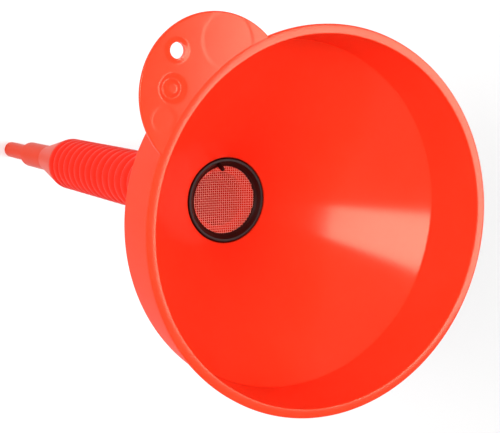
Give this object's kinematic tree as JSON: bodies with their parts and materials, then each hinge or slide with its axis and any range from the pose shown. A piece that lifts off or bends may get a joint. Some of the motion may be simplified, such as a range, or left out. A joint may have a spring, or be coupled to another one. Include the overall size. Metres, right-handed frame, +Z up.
{
  "type": "funnel",
  "caption": "Wide-mouth funnel with a thumb tab, a lift-out strainer and a flexible ribbed spout with a stepped nozzle.",
  "frame": {"origin": "centre of the spout's tip, on the spout's axis", "axes": "+Z up the spout's axis and out of the mouth, +X towards the thumb tab"},
  "size_m": [0.1845, 0.16, 0.4154],
  "materials": {
    "bowl_pe": "satin moulded polyethylene, red-orange",
    "strainer_nylon": "satin moulded nylon, near black",
    "steel_gauze": "plain woven stainless wire cloth",
    "spout_pe": "soft moulded polyethylene, red"
  },
  "bodies": {
    "bowl": {"bowl": "bowl_pe"},
    "strainer": {"strainer_frame": "strainer_nylon", "strainer_gauze": "steel_gauze"},
    "cuff": {"spout_cuff": "spout_pe"},
    "rib_01": {"spout_rib_01": "spout_pe"},
    "rib_02": {"spout_rib_02": "spout_pe"},
    "rib_03": {"spout_rib_03": "spout_pe"},
    "rib_04": {"spout_rib_04": "spout_pe"},
    "rib_05": {"spout_rib_05": "spout_pe"},
    "rib_06": {"spout_rib_06": "spout_pe"},
    "rib_07": {"spout_rib_07": "spout_pe"},
    "rib_08": {"spout_rib_08": "spout_pe"},
    "rib_09": {"spout_rib_09": "spout_pe"},
    "rib_10": {"spout_rib_10": "spout_pe"},
    "rib_11": {"spout_rib_11": "spout_pe"},
    "rib_12": {"spout_rib_12": "spout_pe"},
    "rib_13": {"spout_rib_13": "spout_pe"},
    "rib_14": {"spout_rib_14": "spout_pe"},
    "rib_15": {"spout_rib_15": "spout_pe"},
    "rib_16": {"spout_rib_16": "spout_pe"},
    "rib_17": {"spout_rib_17": "spout_pe"},
    "rib_18": {"spout_rib_18": "spout_pe"},
    "rib_19": {"spout_rib_19": "spout_pe"},
    "rib_20": {"spout_rib_20": "spout_pe"},
    "nozzle": {"spout_nozzle": "spout_pe"}
  },
  "joints": [
    {"name": "strainer_lift", "type": "slide", "parent": "bowl", "child": "strainer", "axis": [0, 0, 1], "range_m": [0, 0.1]},
    {"name": "spout_pull_off", "type": "slide", "parent": "bowl", "child": "cuff", "axis": [0, 0, -1], "range_m": [0, 0.03]},
    {"name": "bend_x_01", "type": "hinge", "parent": "cuff", "child": "rib_01", "pos_m": [0, 0, 0.30165], "axis": [1, 0, 0], "range_deg": [-8.2, 8.2], "stiffness_Nm_per_rad": 1},
    {"name": "bend_y_01", "type": "hinge", "parent": "rib_01", "child": "rib_02", "pos_m": [0, 0, 0.29295], "axis": [0, 1, 0], "range_deg": [-9, 9], "stiffness_Nm_per_rad": 1},
    {"name": "bend_x_02", "type": "hinge", "parent": "rib_02", "child": "rib_03", "pos_m": [0, 0, 0.28425], "axis": [1, 0, 0], "range_deg": [-8.2, 8.2], "stiffness_Nm_per_rad": 1},
    {"name": "bend_y_02", "type": "hinge", "parent": "rib_03", "child": "rib_04", "pos_m": [0, 0, 0.27555], "axis": [0, 1, 0], "range_deg": [-9, 9], "stiffness_Nm_per_rad": 1},
    {"name": "bend_x_03", "type": "hinge", "parent": "rib_04", "child": "rib_05", "pos_m": [0, 0, 0.26685], "axis": [1, 0, 0], "range_deg": [-8.2, 8.2], "stiffness_Nm_per_rad": 1},
    {"name": "bend_y_03", "type": "hinge", "parent": "rib_05", "child": "rib_06", "pos_m": [0, 0, 0.25815], "axis": [0, 1, 0], "range_deg": [-9, 9], "stiffness_Nm_per_rad": 1},
    {"name": "bend_x_04", "type": "hinge", "parent": "rib_06", "child": "rib_07", "pos_m": [0, 0, 0.24945], "axis": [1, 0, 0], "range_deg": [-8.2, 8.2], "stiffness_Nm_per_rad": 1},
    {"name": "bend_y_04", "type": "hinge", "parent": "rib_07", "child": "rib_08", "pos_m": [0, 0, 0.24075], "axis": [0, 1, 0], "range_deg": [-9, 9], "stiffness_Nm_per_rad": 1},
    {"name": "bend_x_05", "type": "hinge", "parent": "rib_08", "child": "rib_09", "pos_m": [0, 0, 0.23205], "axis": [1, 0, 0], "range_deg": [-8.2, 8.2], "stiffness_Nm_per_rad": 1},
    {"name": "bend_y_05", "type": "hinge", "parent": "rib_09", "child": "rib_10", "pos_m": [0, 0, 0.22335], "axis": [0, 1, 0], "range_deg": [-9, 9], "stiffness_Nm_per_rad": 1},
    {"name": "bend_x_06", "type": "hinge", "parent": "rib_10", "child": "rib_11", "pos_m": [0, 0, 0.21465], "axis": [1, 0, 0], "range_deg": [-8.2, 8.2], "stiffness_Nm_per_rad": 1},
    {"name": "bend_y_06", "type": "hinge", "parent": "rib_11", "child": "rib_12", "pos_m": [0, 0, 0.20595], "axis": [0, 1, 0], "range_deg": [-9, 9], "stiffness_Nm_per_rad": 1},
    {"name": "bend_x_07", "type": "hinge", "parent": "rib_12", "child": "rib_13", "pos_m": [0, 0, 0.19725], "axis": [1, 0, 0], "range_deg": [-8.2, 8.2], "stiffness_Nm_per_rad": 1},
    {"name": "bend_y_07", "type": "hinge", "parent": "rib_13", "child": "rib_14", "pos_m": [0, 0, 0.18855], "axis": [0, 1, 0], "range_deg": [-9, 9], "stiffness_Nm_per_rad": 1},
    {"name": "bend_x_08", "type": "hinge", "parent": "rib_14", "child": "rib_15", "pos_m": [0, 0, 0.17985], "axis": [1, 0, 0], "range_deg": [-8.2, 8.2], "stiffness_Nm_per_rad": 1},
    {"name": "bend_y_08", "type": "hinge", "parent": "rib_15", "child": "rib_16", "pos_m": [0, 0, 0.17115], "axis": [0, 1, 0], "range_deg": [-9, 9], "stiffness_Nm_per_rad": 1},
    {"name": "bend_x_09", "type": "hinge", "parent": "rib_16", "child": "rib_17", "pos_m": [0, 0, 0.16245], "axis": [1, 0, 0], "range_deg": [-8.2, 8.2], "stiffness_Nm_per_rad": 1},
    {"name": "bend_y_09", "type": "hinge", "parent": "rib_17", "child": "rib_18", "pos_m": [0, 0, 0.15375], "axis": [0, 1, 0], "range_deg": [-9, 9], "stiffness_Nm_per_rad": 1},
    {"name": "bend_x_10", "type": "hinge", "parent": "rib_18", "child": "rib_19", "pos_m": [0, 0, 0.14505], "axis": [1, 0, 0], "range_deg": [-8.2, 8.2], "stiffness_Nm_per_rad": 1},
    {"name": "bend_y_10", "type": "hinge", "parent": "rib_19", "child": "rib_20", "pos_m": [0, 0, 0.13635], "axis": [0, 1, 0], "range_deg": [-9, 9], "stiffness_Nm_per_rad": 1},
    {"name": "bend_x_11", "type": "hinge", "parent": "rib_20", "child": "nozzle", "pos_m": [0, 0, 0.12765], "axis": [1, 0, 0], "range_deg": [-8.2, 8.2], "stiffness_Nm_per_rad": 1}
  ],
  "couplings": [
    {"joint": "bend_x_02", "follows": "bend_x_01", "ratio": 1},
    {"joint": "bend_y_02", "follows": "bend_y_01", "ratio": 1},
    {"joint": "bend_x_03", "follows": "bend_x_01", "ratio": 1},
    {"joint": "bend_y_03", "follows": "bend_y_01", "ratio": 1},
    {"joint": "bend_x_04", "follows": "bend_x_01", "ratio": 1},
    {"joint": "bend_y_04", "follows": "bend_y_01", "ratio": 1},
    {"joint": "bend_x_05", "follows": "bend_x_01", "ratio": 1},
    {"joint": "bend_y_05", "follows": "bend_y_01", "ratio": 1},
    {"joint": "bend_x_06", "follows": "bend_x_01", "ratio": 1},
    {"joint": "bend_y_06", "follows": "bend_y_01", "ratio": 1},
    {"joint": "bend_x_07", "follows": "bend_x_01", "ratio": 1},
    {"joint": "bend_y_07", "follows": "bend_y_01", "ratio": 1},
    {"joint": "bend_x_08", "follows": "bend_x_01", "ratio": 1},
    {"joint": "bend_y_08", "follows": "bend_y_01", "ratio": 1},
    {"joint": "bend_x_09", "follows": "bend_x_01", "ratio": 1},
    {"joint": "bend_y_09", "follows": "bend_y_01", "ratio": 1},
    {"joint": "bend_x_10", "follows": "bend_x_01", "ratio": 1},
    {"joint": "bend_y_10", "follows": "bend_y_01", "ratio": 1},
    {"joint": "bend_x_11", "follows": "bend_x_01", "ratio": 1}
  ]
}
